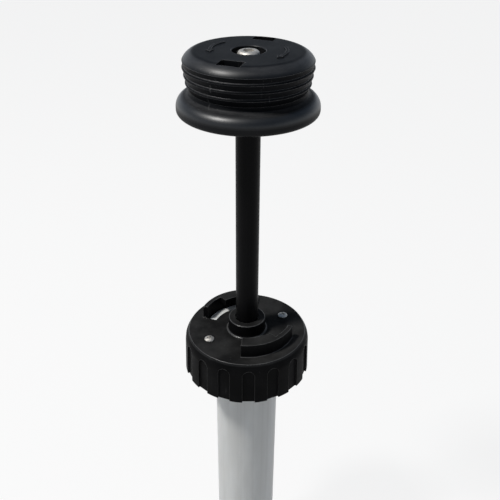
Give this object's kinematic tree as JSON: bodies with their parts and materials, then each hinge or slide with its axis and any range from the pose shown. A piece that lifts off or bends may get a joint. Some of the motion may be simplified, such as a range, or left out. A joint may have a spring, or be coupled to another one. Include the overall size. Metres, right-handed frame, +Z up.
{
  "type": "hand air pump for a container neck",
  "caption": "Plunger air pump with a round grip knob on a slim rod, a fluted screw cap with bayonet lugs, and a barrel with a foot check valve that hangs inside the container.",
  "frame": {"origin": "on the pump's axis, in the plane of the gasket's underside, where the cap seats on the neck's rim", "axes": "+Z up along the rod towards the knob; the picture is taken from the -Y side, with +X to the right"},
  "size_m": [0.0804, 0.0804, 0.3971],
  "materials": {
    "cap_moulding": "fine spark texture",
    "knob_moulding": "satin",
    "rod_black": "black anodised, satin",
    "natural_moulding": "natural, slightly waxy",
    "bearing_plastic": "smooth",
    "foot_moulding": "matt",
    "seal_rubber": "matt",
    "wiper_felt": "pressed felt",
    "bright_steel": "turned, slightly dull",
    "plug_brass": "turned"
  },
  "bodies": {
    "pump_body": {"screw_cap": "cap_moulding", "cap_screws": "bright_steel", "barrel": "natural_moulding", "neck_gasket": "seal_rubber", "rod_guide": "bearing_plastic", "rod_wiper": "wiper_felt", "foot_valve_body": "foot_moulding", "foot_seal_ring": "seal_rubber", "valve_cage": "foot_moulding", "valve_spring": "bright_steel"},
    "plunger": {"piston": "bearing_plastic", "piston_guide_ring": "bearing_plastic", "piston_cup_seal": "seal_rubber", "piston_washer": "bright_steel", "stop_bumper": "seal_rubber"},
    "handle": {"knob": "knob_moulding", "knob_washer": "bright_steel", "knob_screw": "bright_steel", "pump_rod": "rod_black", "rod_top_plug": "plug_brass", "rod_bottom_plug": "plug_brass", "piston_screw": "bright_steel"},
    "valve": {"valve_poppet": "bearing_plastic", "valve_seal": "seal_rubber"}
  },
  "joints": [
    {"name": "pump_stroke", "type": "slide", "parent": "pump_body", "child": "plunger", "axis": [0, 0, 1], "range_m": [-0.145, 0]},
    {"name": "knob_twist", "type": "hinge", "parent": "plunger", "child": "handle", "pos_m": [0, 0, 0], "axis": [0, 0, 1], "continuous": true},
    {"name": "valve_lift", "type": "slide", "parent": "pump_body", "child": "valve", "axis": [0, 0, -1], "range_m": [0, 0.003], "stiffness_N_per_m": 400, "springref_m": -0.003, "deforming": ["valve_spring"]}
  ]
}
